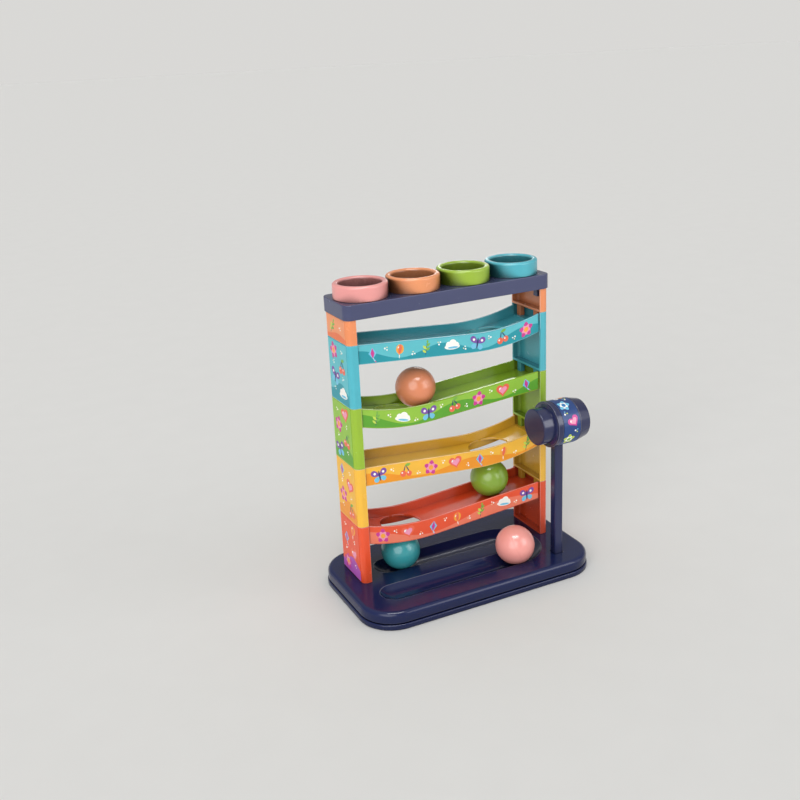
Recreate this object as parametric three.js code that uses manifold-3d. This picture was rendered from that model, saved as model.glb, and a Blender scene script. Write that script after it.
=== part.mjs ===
// A pound-a-ball tower: balls go through four rings in a top bar, roll down four troughs that fall
// to alternate sides, and run out along a U-shaped lane in the base. A hammer stands in the base.
// Millimetres, +Z up, +Y to the tower's back, origin at the middle of the base's underside.
import * as THREE from 'three';
import { mergeVertices } from 'three/addons/utils/BufferGeometryUtils.js';
import Module from 'manifold-3d';

const wasm = await Module();
wasm.setup();

// Clearances
const FIT_GAP = 0.3; // between pieces that fit into, over or beside one another
const SKIN_GAP = 0.05; // under a label that is wrapped round a barrel
const CUT_OVER = 1; // how far a cutting body runs past the face that it opens
const SEAM_OVERLAP = 0.05; // how far the straight lanes run into the turn

// Base: a tray with a rounded lip, and a deck shell above a dark seam
const BASE_LENGTH = 224;
const BASE_DEPTH = 126;
const BASE_CORNER = 31;
const TRAY_LIP_HEIGHT = 5;
const TRAY_LIP_ROUND = 1.2;
const TRAY_FLOOR = 2;
const SEAM_HEIGHT = 1.2;
const SEAM_DEPTH = 2.6;
const DECK_INSET = 0.8;
const DECK_RISE = 9.8;
const DECK_ROUND = 4;
const SHELL_WALL = 2.4;

// Base screws
const SCREW_INSET_X = 52;
const SCREW_INSET_Y = 13;
const SCREW_SHANK_RADIUS = 1.4;
const SCREW_SHANK_LENGTH = 7;
const SCREW_HEAD_RADIUS = 3;
const SCREW_HEAD_HEIGHT = 1.8;
const SCREW_SINK = 0.6;
const SCREW_CROSS_LENGTH = 3.9;
const SCREW_CROSS_WIDTH = 0.9;
const SCREW_CROSS_DEPTH = 0.9;
const BOSS_WALL = 1.8;

// Ball and the lane that it runs out on
const BALL_RADIUS = 17.5;
const LANE_CLEARANCE = 0.7; // between a ball's radius and the lane's
const LANE_HALF_WIDTH = 13.3;
const LANE_WALL = 2;
const LANE_BACK_Y = 16.3;
const LANE_FRONT_Y = -28.5;
const LANE_TURN_INSET = 68.3; // from the base's right end to the middle of the turn
const LANE_END_INSET = 35.7; // from the base's left end to the middle of the front lane's round end
const LANE_START_REACH = 16; // from under the lowest drop hole to the middle of the back lane's round end

// Posts
const TOWER_Y = 19;
const TOWER_HALF_SPAN = 95;
const POST_WIDTH = 8.4;
const POST_DEPTH = 46;
const POST_CORNER = 4.5;
const POST_WALL = 1.8;
const POST_FLOOR = 2;
const STOREY_HEIGHT = 53.4;
const TOP_SEGMENT_HEIGHT = 20.8;
const TAB_THICKNESS = 4.2;
const TAB_BREADTH = 6;
const TAB_OFFSET = 13.3;
const FOOT_TAB_LENGTH = 8;

// Troughs: a straight fall that runs into an arc, with a drop hole at the low end
const RAMP_END_DROP = 0.5;
const RAMP_FALL = THREE.MathUtils.degToRad(4.3);
const RAMP_ARC_RADIUS = 182;
const RAMP_ARC_START = 19.5;
const RAMP_WALL_HEIGHT = 16.6;
const RAMP_WALL = 1.8;
const RAMP_SETBACK = 2.2;
const RAMP_FLOOR_DROP = 8.5;
const RAMP_FLOOR = 1.8;
const DROP_CLEARANCE = 1.1; // between a ball and a drop hole
const DROP_HOLE_X = 46;
const SHELF_THICKNESS = 2;

// Labels
const LABEL_THICKNESS = 0.25;
const LABEL_MARGIN = 0.9;

// Top bar and rings
const BAR_HEIGHT = 12.6;
const BAR_OVERHANG = 1.4;
const BAR_CORNER = 6.5;
const BAR_EDGE_ROUND = 0.6;
const BAR_TAB_LENGTH = 8;
const RING_CLEARANCE = 0.4; // between a ball and a ring's bore
const RING_GAP = 2.1; // between neighbouring rings
const RING_END_MARGIN = 2.05; // between an end ring and the bar's end
const RING_HEIGHT = 12.8;
const RING_RIM_ROUND = 1.9;
const RING_SPIGOT_WALL = 2.3;

// Hammer
const HAMMER_INSET_X = 31.5; // from the base's right end
const HAMMER_INSET_Y = 24; // from the base's front
const HANDLE_SIZE = 8.3;
const HANDLE_ROUND = 1.6;
const SOCKET_WALL = 2;
const HEAD_HEIGHT = 124.8; // from the deck to the head's axis
const BARREL_RADIUS = 19.5;
const BARREL_WALL = 2;
const BARREL_LENGTH = 23;
const FLANGE_RADIUS = 20.2; // round the barrel's left end
const FLANGE_LENGTH = 4.7;
const STRIKER_RADIUS = 16; // left cap
const STRIKER_LENGTH = 11.9;
const SHOULDER_OVERLAP = 1.3; // of the striker's foot over the barrel's wall
const SHOULDER_HEIGHT = 1;
const TAIL_RADIUS = 17.2; // end of the right cap, which tapers from the barrel
const TAIL_LENGTH = 11.4;
const CAP_ROUND = 1;
const CAP_SKIN = 2;
const CAP_SPIGOT_LENGTH = 4;
const HANDLE_PLUG = 3; // how far the handle goes past the head's axis

// Where the balls lie
const ORANGE_BALL_SHORT = 20.4; // on the green trough, short of its drop hole's middle
const TEAL_BALL_REACH = 13.3; // along the back lane from the middle of its round end
const PINK_BALL_REACH = 0.4; // along the front lane from the turn

// Round stretches are divided into this many sides. An arc of an outline gets twice its number.
const ROUND_SIDES = 40;
const SCREW_SIDES = 16;
const BALL_SIDES = 24;
const RAMP_ARC_SIDES = 12;
const BASE_CORNER_HALF_SIDES = 6;
const CORNER_HALF_SIDES = 3;
const LANE_HALF_SIDES = 6;
const RIM_HALF_SIDES = 2;
const EDGE_SIDES = 4;

// Heights and places that follow from the sizes above
const DECK_BOTTOM = TRAY_LIP_HEIGHT + SEAM_HEIGHT;
const DECK_TOP = DECK_BOTTOM + DECK_RISE;
const SKIN_BOTTOM = DECK_TOP - SHELL_WALL;
const HEAD_Z = DECK_TOP + HEAD_HEIGHT;
const HANDLE_TOP = HEAD_Z + HANDLE_PLUG;
const HANDLE_HOLE = HANDLE_SIZE + 2 * FIT_GAP;
const BASE_HALF_LENGTH = BASE_LENGTH / 2;
const BASE_HALF_DEPTH = BASE_DEPTH / 2;
const HAMMER_X = BASE_HALF_LENGTH - HAMMER_INSET_X;
const HAMMER_Y = HAMMER_INSET_Y - BASE_HALF_DEPTH;
const LANE_RADIUS = BALL_RADIUS + LANE_CLEARANCE;
const LANE_TURN_X = BASE_HALF_LENGTH - LANE_TURN_INSET;
const LANE_FRONT_END_X = LANE_END_INSET - BASE_HALF_LENGTH;
const LANE_BACK_START_X = -DROP_HOLE_X - LANE_START_REACH;
const DROP_HOLE_RADIUS = BALL_RADIUS + DROP_CLEARANCE;
const RING_BORE_RADIUS = BALL_RADIUS + RING_CLEARANCE;
const BAR_HALF_LENGTH = TOWER_HALF_SPAN + BAR_OVERHANG;
const RAMP_HALF_LENGTH = TOWER_HALF_SPAN - POST_WIDTH - FIT_GAP;
const RAMP_HALF_WIDTH = POST_DEPTH / 2 - RAMP_SETBACK;
const TAB_X = TOWER_HALF_SPAN - (POST_WIDTH + POST_WALL) / 2;

// The rings share out the bar's length.
const ringColours = ['pink', 'orange', 'green', 'teal'];
const RING_GAPS = RING_GAP * (ringColours.length - 1);
const RING_RADIUS = (BAR_HALF_LENGTH - RING_END_MARGIN - RING_GAPS / 2) / ringColours.length;
const RING_PITCH = 2 * RING_RADIUS + RING_GAP;
const RING_WALL = RING_RADIUS - RING_BORE_RADIUS;
const RING_ROUND = Math.min(RING_RIM_ROUND, RING_WALL / 2);

const COLOURS = {
  navy: 0x262b55,
  orange: 0xee8f63,
  teal: 0x4bb3c2,
  green: 0x97bb35,
  yellow: 0xf0b840,
  red: 0xe5502b,
  pink: 0xee9b95,
  steel: 0xb8babd,
};

function plastic(colour) {
  return new THREE.MeshStandardMaterial({ color: COLOURS[colour], roughness: 0.3, metalness: 0 });
}

function paper(colour) {
  return new THREE.MeshStandardMaterial({ color: COLOURS[colour], roughness: 0.5, metalness: 0 });
}

function plated() {
  return new THREE.MeshStandardMaterial({ color: COLOURS.steel, roughness: 0.35, metalness: 1 });
}

// A closed geometry as a solid that can be joined and cut. Collapsed triangles, such as those of a
// lathe at its axis, are dropped, and the faces are turned outwards.
function toSolid(geometry) {
  geometry.deleteAttribute('normal');
  geometry.deleteAttribute('uv');
  const merged = mergeVertices(geometry);
  const position = merged.attributes.position;
  const corner = [new THREE.Vector3(), new THREE.Vector3(), new THREE.Vector3()];
  const triangles = [];
  let volume = 0;
  for (let i = 0; i < merged.index.count; i += 3) {
    const [a, b, c] = [0, 1, 2].map((k) => merged.index.getX(i + k));
    if (a === b || b === c || c === a) continue;
    [a, b, c].forEach((vertex, k) => corner[k].fromBufferAttribute(position, vertex));
    volume += corner[0].dot(corner[1].clone().cross(corner[2]));
    triangles.push([a, b, c]);
  }
  const outward = volume < 0 ? triangles.map(([a, b, c]) => [a, c, b]) : triangles;
  return new wasm.Manifold(new wasm.Mesh({
    numProp: 3,
    vertProperties: new Float32Array(position.array),
    triVerts: new Uint32Array(outward.flat()),
  }));
}

function toGeometry(solid) {
  const mesh = solid.getMesh();
  const geometry = new THREE.BufferGeometry();
  geometry.setAttribute('position', new THREE.BufferAttribute(mesh.vertProperties, 3));
  geometry.setIndex(new THREE.BufferAttribute(mesh.triVerts, 1));
  geometry.computeVertexNormals();
  return geometry;
}

const join = (...solids) => solids.reduce((whole, solid) => whole.add(solid));
const cut = (whole, ...solids) => solids.reduce((rest, solid) => rest.subtract(solid), whole);

function block([x0, x1], [y0, y1], [z0, z1]) {
  const geometry = new THREE.BoxGeometry(x1 - x0, y1 - y0, z1 - z0);
  return toSolid(geometry.translate((x0 + x1) / 2, (y0 + y1) / 2, (z0 + z1) / 2));
}

// A bar of rectangular section that stands on a centre point of the plan
function column(x, y, breadthX, breadthY, z0, z1) {
  return block([x - breadthX / 2, x + breadthX / 2], [y - breadthY / 2, y + breadthY / 2], [z0, z1]);
}

function rod(x, y, radius, z0, z1, sides) {
  const geometry = new THREE.CylinderGeometry(radius, radius, z1 - z0, sides);
  return toSolid(geometry.rotateX(Math.PI / 2).translate(x, y, (z0 + z1) / 2));
}

function roundedRectangle(halfX, halfY, radius, halfSides, x = 0, y = 0) {
  const path = new THREE.Path();
  const reachX = halfX - radius;
  const reachY = halfY - radius;
  path.absarc(x + reachX, y + reachY, radius, 0, Math.PI / 2);
  path.absarc(x - reachX, y + reachY, radius, Math.PI / 2, Math.PI);
  path.absarc(x - reachX, y - reachY, radius, Math.PI, 1.5 * Math.PI);
  path.absarc(x + reachX, y - reachY, radius, 1.5 * Math.PI, 2 * Math.PI);
  return new THREE.Shape(path.getPoints(halfSides));
}

// A plan outline raised from z0 to z1, with its top and bottom edges rounded where a radius is given
function slab(shape, z0, z1, round = 0) {
  const geometry = new THREE.ExtrudeGeometry(shape, {
    depth: z1 - z0 - 2 * round,
    bevelEnabled: round > 0,
    bevelThickness: round,
    bevelSize: round,
    bevelOffset: -round,
    bevelSegments: EDGE_SIDES,
  });
  return toSolid(geometry.translate(0, 0, z0 + round));
}

// An outline in x and z, drawn out from y0 to y1
function upright(shape, y0, y1) {
  const geometry = new THREE.ExtrudeGeometry(shape, { depth: y1 - y0, bevelEnabled: false });
  return toSolid(geometry.rotateX(Math.PI / 2).translate(0, y1, 0));
}

// An outline of radius and height, turned about a standing axis or about an axis along X
function turned(points, x, y) {
  const geometry = new THREE.LatheGeometry(points, ROUND_SIDES);
  return toSolid(geometry.rotateX(Math.PI / 2).translate(x, y, 0));
}

function turnedAlongX(points, x, y, z) {
  const geometry = new THREE.LatheGeometry(points, ROUND_SIDES);
  return toSolid(geometry.rotateZ(-Math.PI / 2).translate(x, y, z));
}

const outlinePoints = (pairs) => pairs.map(([u, v]) => new THREE.Vector2(u, v));

const tower = new THREE.Group();

function add(name, solid, material) {
  const mesh = new THREE.Mesh(toGeometry(solid), material);
  mesh.name = name;
  tower.add(mesh);
}

// Base outline, drawn in by an inset
function baseOutline(inset) {
  const halfLength = BASE_HALF_LENGTH - inset;
  const halfDepth = BASE_HALF_DEPTH - inset;
  return roundedRectangle(halfLength, halfDepth, BASE_CORNER - inset, BASE_CORNER_HALF_SIDES);
}

// The lane's section: an arc below the deck's surface. A wall makes the trough that hangs under it.
const LANE_CENTRE_RISE = Math.sqrt(LANE_RADIUS ** 2 - LANE_HALF_WIDTH ** 2);
const LANE_DEPTH = LANE_RADIUS - LANE_CENTRE_RISE;

function laneArc(wall) {
  const radius = LANE_RADIUS + wall;
  const dip = Math.asin(LANE_CENTRE_RISE / radius);
  const path = new THREE.Path();
  path.absarc(0, DECK_TOP + LANE_CENTRE_RISE, radius, dip - Math.PI, -dip);
  return path.getPoints(LANE_HALF_SIDES);
}

function laneBody(wall, top) {
  const arc = laneArc(wall);
  const section = [...arc, new THREE.Vector2(arc.at(-1).x, top), new THREE.Vector2(arc[0].x, top)];
  const alongX = new THREE.Matrix4().makeBasis(
    new THREE.Vector3(0, 1, 0),
    new THREE.Vector3(0, 0, 1),
    new THREE.Vector3(1, 0, 0),
  );
  const straight = (x0, x1, y) => {
    const shape = new THREE.Shape(section);
    const geometry = new THREE.ExtrudeGeometry(shape, { depth: x1 - x0, bevelEnabled: false });
    return toSolid(geometry.applyMatrix4(alongX).translate(x0, y, 0));
  };
  const half = section.filter((point) => point.x > -1e-6);
  const bowl = (x, y) => turned([...half, new THREE.Vector2(0, top)], x, y);
  const turnRadius = (LANE_BACK_Y - LANE_FRONT_Y) / 2;
  const turnY = (LANE_BACK_Y + LANE_FRONT_Y) / 2;
  const ring = [...section, section[0]].map((point) => new THREE.Vector2(point.x + turnRadius, point.y));
  const reach = turnRadius + LANE_RADIUS + wall;
  const rightHalf = block(
    [LANE_TURN_X, LANE_TURN_X + reach],
    [turnY - reach, turnY + reach],
    [DECK_TOP - LANE_DEPTH - wall - CUT_OVER, top + CUT_OVER],
  );
  return join(
    straight(LANE_BACK_START_X, LANE_TURN_X + SEAM_OVERLAP, LANE_BACK_Y),
    straight(LANE_FRONT_END_X, LANE_TURN_X + SEAM_OVERLAP, LANE_FRONT_Y),
    bowl(LANE_BACK_START_X, LANE_BACK_Y),
    bowl(LANE_FRONT_END_X, LANE_FRONT_Y),
    turned(ring, LANE_TURN_X, turnY).intersect(rightHalf),
  );
}

// Base

const screwPlaces = [[-1, -1], [1, -1], [-1, 1], [1, 1]].map(([sideX, sideY]) => [
  sideX * (BASE_HALF_LENGTH - SCREW_INSET_X),
  sideY * (BASE_HALF_DEPTH - SCREW_INSET_Y),
]);
const SCREW_SEAT = SCREW_SINK + SCREW_HEAD_HEIGHT;
const SCREW_WELL_RADIUS = SCREW_HEAD_RADIUS + FIT_GAP;
const PILOT_RADIUS = SCREW_SHANK_RADIUS + FIT_GAP;
const SCREW_TIP = SCREW_SEAT + SCREW_SHANK_LENGTH;
const tabPlaces = [-1, 1].flatMap((side) => [-1, 1].map((end) => [
  side * TAB_X,
  TOWER_Y + end * TAB_OFFSET,
]));

function screwRods(radius, z0, z1) {
  return screwPlaces.map(([x, y]) => rod(x, y, radius, z0, z1, SCREW_SIDES));
}

// The space round a tab, or a wall round that space
function tabHole(x, y, wall, z0, z1) {
  const spare = 2 * (FIT_GAP + wall);
  return column(x, y, TAB_THICKNESS + spare, TAB_BREADTH + spare, z0, z1);
}

function makeTray() {
  const lip = slab(baseOutline(0), 0, TRAY_LIP_HEIGHT, TRAY_LIP_ROUND);
  const step = slab(baseOutline(SEAM_DEPTH), TRAY_FLOOR, DECK_BOTTOM);
  const hollow = slab(baseOutline(SEAM_DEPTH + SHELL_WALL), TRAY_FLOOR, DECK_BOTTOM + CUT_OVER);
  const bosses = screwRods(SCREW_WELL_RADIUS + BOSS_WALL, 0, TRAY_LIP_HEIGHT);
  const wells = screwRods(SCREW_WELL_RADIUS, -CUT_OVER, SCREW_SEAT);
  const holes = screwRods(PILOT_RADIUS, 0, TRAY_LIP_HEIGHT + CUT_OVER);
  const pad = column(HAMMER_X, HAMMER_Y, HANDLE_HOLE, HANDLE_HOLE, 0, TRAY_LIP_HEIGHT);
  const open = cut(join(lip, step), hollow);
  return cut(join(open, pad, ...bosses), ...wells, ...holes);
}

function makeDeck() {
  const whole = slab(baseOutline(DECK_INSET), DECK_BOTTOM - 2 * DECK_ROUND, DECK_TOP, DECK_ROUND);
  const above = block(
    [-BASE_LENGTH, BASE_LENGTH],
    [-BASE_DEPTH, BASE_DEPTH],
    [DECK_BOTTOM, DECK_TOP + CUT_OVER],
  );
  const inner = slab(baseOutline(SEAM_DEPTH + SHELL_WALL), 0, SKIN_BOTTOM);
  const bosses = screwRods(PILOT_RADIUS + BOSS_WALL, TRAY_LIP_HEIGHT, SKIN_BOTTOM + SHELL_WALL / 2);
  const pilots = screwRods(PILOT_RADIUS, 0, SCREW_TIP + FIT_GAP);
  const socketOutside = HANDLE_HOLE + 2 * SOCKET_WALL;
  const socketTube = column(HAMMER_X, HAMMER_Y, socketOutside, socketOutside, DECK_BOTTOM, DECK_TOP);
  const socket = column(HAMMER_X, HAMMER_Y, HANDLE_HOLE, HANDLE_HOLE, 0, DECK_TOP + CUT_OVER);
  const footSockets = tabPlaces.map(([x, y]) => tabHole(x, y, SOCKET_WALL, DECK_BOTTOM, DECK_TOP));
  const footHoles = tabPlaces.map(([x, y]) => tabHole(x, y, 0, 0, DECK_TOP + CUT_OVER));
  const hollow = cut(inner, laneBody(LANE_WALL, DECK_TOP), socketTube, ...footSockets);
  const shell = cut(whole.intersect(above), hollow);
  return cut(join(shell, ...bosses), laneBody(0, DECK_TOP + CUT_OVER), socket, ...footHoles, ...pilots);
}

function makeScrew(x, y) {
  const head = rod(x, y, SCREW_HEAD_RADIUS, SCREW_SINK, SCREW_SEAT, SCREW_SIDES);
  const shank = rod(x, y, SCREW_SHANK_RADIUS, SCREW_SINK, SCREW_TIP, SCREW_SIDES);
  const crossTop = SCREW_SINK + SCREW_CROSS_DEPTH;
  return cut(
    join(head, shank),
    column(x, y, SCREW_CROSS_LENGTH, SCREW_CROSS_WIDTH, 0, crossTop),
    column(x, y, SCREW_CROSS_WIDTH, SCREW_CROSS_LENGTH, 0, crossTop),
  );
}

add('base_tray', makeTray(), plastic('navy'));
add('base_deck', makeDeck(), plastic('navy'));
screwPlaces.forEach(([x, y], i) => add(`base_screw_${i + 1}`, makeScrew(x, y), plated()));

// Troughs: their top edge runs along s, which is x towards the low end, and lies below a storey's top

const ARC_START_Z = -RAMP_END_DROP - Math.tan(RAMP_FALL) * (RAMP_HALF_LENGTH + RAMP_ARC_START);
const ARC_CENTRE_S = RAMP_ARC_START + RAMP_ARC_RADIUS * Math.sin(RAMP_FALL);
const ARC_CENTRE_Z = ARC_START_Z + RAMP_ARC_RADIUS * Math.cos(RAMP_FALL);

function rampTop(s) {
  if (s < RAMP_ARC_START) return ARC_START_Z + Math.tan(RAMP_FALL) * (RAMP_ARC_START - s);
  return ARC_CENTRE_Z - Math.sqrt(RAMP_ARC_RADIUS ** 2 - (s - ARC_CENTRE_S) ** 2);
}

// How far below its storey's top a trough's floor ends, in the post on one side
const floorDrop = (side, fallsTo) => RAMP_FLOOR_DROP - rampTop(side * fallsTo * RAMP_HALF_LENGTH);
const shelfDrop = (side, fallsTo) => floorDrop(side, fallsTo) + RAMP_FLOOR;

// The outline between two drops below the top edge, drawn in at both ends
function rampBand(storey, dropTop, dropBottom, inset) {
  const end = RAMP_HALF_LENGTH - inset;
  const stops = [-end];
  for (let i = 0; i <= RAMP_ARC_SIDES; i += 1) {
    stops.push(RAMP_ARC_START + (end - RAMP_ARC_START) * (i / RAMP_ARC_SIDES));
  }
  const edge = (drop) => stops.map((s) => (
    new THREE.Vector2(storey.fallsTo * s, storey.top + rampTop(s) - drop)));
  return new THREE.Shape([...edge(dropTop), ...edge(dropBottom).reverse()]);
}

function makeTongue(storey, side) {
  const top = storey.top - floorDrop(side, storey.fallsTo);
  const inner = side * (RAMP_HALF_LENGTH - RAMP_FLOOR);
  const outer = side * (TOWER_HALF_SPAN - POST_WALL - FIT_GAP);
  const half = POST_DEPTH / 2 - POST_CORNER - FIT_GAP;
  return block(
    [Math.min(inner, outer), Math.max(inner, outer)],
    [TOWER_Y - half, TOWER_Y + half],
    [top - RAMP_FLOOR, top],
  );
}

function makeRamp(storey) {
  const front = TOWER_Y - RAMP_HALF_WIDTH;
  const back = TOWER_Y + RAMP_HALF_WIDTH;
  const wall = rampBand(storey, 0, RAMP_WALL_HEIGHT, 0);
  const floor = rampBand(storey, RAMP_FLOOR_DROP, RAMP_FLOOR_DROP + RAMP_FLOOR, 0);
  const trough = join(
    upright(wall, front, front + RAMP_WALL),
    upright(wall, back - RAMP_WALL, back),
    upright(floor, front + RAMP_WALL / 2, back - RAMP_WALL / 2),
    makeTongue(storey, -1),
    makeTongue(storey, 1),
  );
  const low = storey.top - STOREY_HEIGHT;
  const holeX = storey.fallsTo * DROP_HOLE_X;
  const dropHole = rod(holeX, TOWER_Y, DROP_HOLE_RADIUS, low, storey.top, ROUND_SIDES);
  return cut(trough, dropHole, ...tabPlaces.map(([x, y]) => tabHole(x, y, 0, low, storey.top)));
}

function makeRampLabel(storey) {
  const face = TOWER_Y - RAMP_HALF_WIDTH;
  const band = rampBand(storey, LABEL_MARGIN, RAMP_WALL_HEIGHT - LABEL_MARGIN, LABEL_MARGIN);
  return upright(band, face - LABEL_THICKNESS, face);
}

// Posts: channels that open to the tower's inside, stacked on one another's top edge

function postOutline(side, wall) {
  const outer = TOWER_HALF_SPAN - wall;
  const half = POST_DEPTH / 2 - wall;
  const radius = POST_CORNER - wall;
  const path = new THREE.Path();
  path.moveTo(TOWER_HALF_SPAN - POST_WIDTH, -half);
  path.lineTo(outer - radius, -half);
  path.absarc(outer - radius, radius - half, radius, -Math.PI / 2, 0);
  path.absarc(outer - radius, half - radius, radius, 0, Math.PI / 2);
  path.lineTo(TOWER_HALF_SPAN - POST_WIDTH, half);
  return path.getPoints(CORNER_HALF_SIDES).map(({ x, y }) => new THREE.Vector2(side * x, TOWER_Y + y));
}

// A storey's shelf carries the end of its trough. The tabs of the segment above go through both.
function makePost(storey, side, tabLength) {
  const { bottom, top } = storey;
  const full = new THREE.Shape(postOutline(side, 0));
  const channel = new THREE.Shape([...postOutline(side, 0), ...postOutline(side, POST_WALL).reverse()]);
  const places = tabPlaces.filter(([x]) => x * side > 0);
  const tabs = places.map(([x, y]) => (
    column(x, y, TAB_THICKNESS, TAB_BREADTH, bottom - tabLength, bottom + POST_FLOOR)));
  const post = join(slab(channel, bottom, top), slab(full, bottom, bottom + POST_FLOOR), ...tabs);
  if (!storey.fallsTo) return post;
  const shelfTop = top - shelfDrop(side, storey.fallsTo);
  const shelf = slab(full, shelfTop - SHELF_THICKNESS, shelfTop);
  const slots = places.map(([x, y]) => tabHole(x, y, 0, shelfTop - SHELF_THICKNESS, shelfTop));
  return join(post, cut(shelf, ...slots));
}

function makePostLabel(storey, side) {
  const face = side * TOWER_HALF_SPAN;
  const outside = face + side * LABEL_THICKNESS;
  const half = POST_DEPTH / 2 - POST_CORNER;
  return block(
    [Math.min(face, outside), Math.max(face, outside)],
    [TOWER_Y - half, TOWER_Y + half],
    [storey.bottom + LABEL_MARGIN, storey.top - LABEL_MARGIN],
  );
}

// Storeys from the deck up. fallsTo is the side of a trough's low end, and 0 where there is none.
const storeys = [
  { colour: 'red', fallsTo: -1, height: STOREY_HEIGHT },
  { colour: 'yellow', fallsTo: 1, height: STOREY_HEIGHT },
  { colour: 'green', fallsTo: -1, height: STOREY_HEIGHT },
  { colour: 'teal', fallsTo: 1, height: STOREY_HEIGHT },
  { colour: 'orange', fallsTo: 0, height: TOP_SEGMENT_HEIGHT },
];
let level = DECK_TOP;
storeys.forEach((storey) => {
  storey.bottom = level;
  level += storey.height;
  storey.top = level;
});

storeys.forEach((storey, i) => {
  const { colour } = storey;
  for (const [side, sideName] of [[-1, 'left'], [1, 'right']]) {
    const below = storeys[i - 1];
    const tabLength = below
      ? shelfDrop(side, below.fallsTo) + SHELF_THICKNESS
      : FOOT_TAB_LENGTH;
    add(`post_${sideName}_${colour}`, makePost(storey, side, tabLength), plastic(colour));
    add(`post_label_${sideName}_${colour}`, makePostLabel(storey, side), paper(colour));
  }
  if (storey.fallsTo) {
    add(`ramp_${colour}`, makeRamp(storey), plastic(colour));
    add(`ramp_label_${colour}`, makeRampLabel(storey), paper(colour));
  }
});

// Top bar and rings

const BAR_BOTTOM = level;
const BAR_TOP = BAR_BOTTOM + BAR_HEIGHT;
const SPIGOT_RADIUS = RING_BORE_RADIUS + RING_SPIGOT_WALL;
const ringPlaces = ringColours.map((colour, i) => (i - (ringColours.length - 1) / 2) * RING_PITCH);

function makeBar() {
  const halfDepth = POST_DEPTH / 2 + BAR_OVERHANG;
  const outline = roundedRectangle(BAR_HALF_LENGTH, halfDepth, BAR_CORNER, CORNER_HALF_SIDES, 0, TOWER_Y);
  const bar = slab(outline, BAR_BOTTOM, BAR_TOP, BAR_EDGE_ROUND);
  const boreRadius = SPIGOT_RADIUS + FIT_GAP;
  const bores = ringPlaces.map((x) => (
    rod(x, TOWER_Y, boreRadius, BAR_BOTTOM - FIT_GAP, BAR_TOP + CUT_OVER, ROUND_SIDES)));
  const tabs = tabPlaces.map(([x, y]) => (
    column(x, y, TAB_THICKNESS, TAB_BREADTH, BAR_BOTTOM - BAR_TAB_LENGTH, BAR_BOTTOM + BAR_HEIGHT / 2)));
  return cut(join(bar, ...tabs), ...bores);
}

function makeRing(x) {
  const arcZ = BAR_TOP + RING_HEIGHT - RING_ROUND;
  const path = new THREE.Path();
  path.moveTo(RING_BORE_RADIUS, BAR_BOTTOM);
  path.lineTo(SPIGOT_RADIUS, BAR_BOTTOM);
  path.lineTo(SPIGOT_RADIUS, BAR_TOP);
  path.lineTo(RING_RADIUS, BAR_TOP);
  path.absarc(RING_RADIUS - RING_ROUND, arcZ, RING_ROUND, 0, Math.PI / 2);
  path.absarc(RING_BORE_RADIUS + RING_ROUND, arcZ, RING_ROUND, Math.PI / 2, Math.PI);
  path.lineTo(RING_BORE_RADIUS, BAR_BOTTOM);
  return turned(path.getPoints(RIM_HALF_SIDES), x, TOWER_Y);
}

add('top_bar', makeBar(), plastic('navy'));
ringColours.forEach((colour, i) => add(`ring_${colour}`, makeRing(ringPlaces[i]), plastic(colour)));

// Balls

function makeBall(x, y, z) {
  return toSolid(new THREE.SphereGeometry(BALL_RADIUS, BALL_SIDES, BALL_SIDES / 2).translate(x, y, z));
}

// A ball's centre where it lies in a trough, on the straight fall or on the arc
function makeRampBall(storey, x) {
  const s = storey.fallsTo * x;
  const lift = BALL_RADIUS + FIT_GAP;
  const onStraight = rampTop(s) + lift / Math.cos(RAMP_FALL);
  const onArc = ARC_CENTRE_Z - Math.sqrt((RAMP_ARC_RADIUS - lift) ** 2 - (s - ARC_CENTRE_S) ** 2);
  const height = s < RAMP_ARC_START + lift * Math.sin(RAMP_FALL) ? onStraight : onArc;
  return makeBall(x, TOWER_Y, storey.top - RAMP_FLOOR_DROP + height);
}

const LANE_BALL_Z = DECK_TOP - LANE_DEPTH + BALL_RADIUS + FIT_GAP;
const storeyOf = (colour) => storeys.find((storey) => storey.colour === colour);
const ORANGE_BALL_X = ORANGE_BALL_SHORT - DROP_HOLE_X;
const TEAL_BALL_X = LANE_BACK_START_X + TEAL_BALL_REACH;
const PINK_BALL_X = LANE_TURN_X - PINK_BALL_REACH;
add('ball_orange', makeRampBall(storeyOf('green'), ORANGE_BALL_X), plastic('orange'));
add('ball_green', makeRampBall(storeyOf('red'), DROP_HOLE_X), plastic('green'));
add('ball_teal', makeBall(TEAL_BALL_X, LANE_BACK_Y, LANE_BALL_Z), plastic('teal'));
add('ball_pink', makeBall(PINK_BALL_X, LANE_FRONT_Y, LANE_BALL_Z), plastic('pink'));

// Hammer: a barrel along X between two caps, on a square handle that stands in the deck's socket

function handleHole(z1) {
  return column(HAMMER_X, HAMMER_Y, HANDLE_HOLE, HANDLE_HOLE, DECK_TOP, z1);
}

function makeHandle() {
  const half = HANDLE_SIZE / 2;
  const outline = roundedRectangle(half, half, HANDLE_ROUND, CORNER_HALF_SIDES, HAMMER_X, HAMMER_Y);
  return slab(outline, TRAY_LIP_HEIGHT + FIT_GAP, HANDLE_TOP);
}

const BARREL_BORE = BARREL_RADIUS - BARREL_WALL;
const BARREL_HALF = BARREL_LENGTH / 2;
const FLANGE_END = FLANGE_LENGTH - BARREL_HALF;

function headTurned(section) {
  return turnedAlongX(outlinePoints([...section, section[0]]), HAMMER_X, HAMMER_Y, HEAD_Z);
}

function headTube(inner, outer, x0, x1) {
  return headTurned([[inner, x0], [outer, x0], [outer, x1], [inner, x1]]);
}

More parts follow.
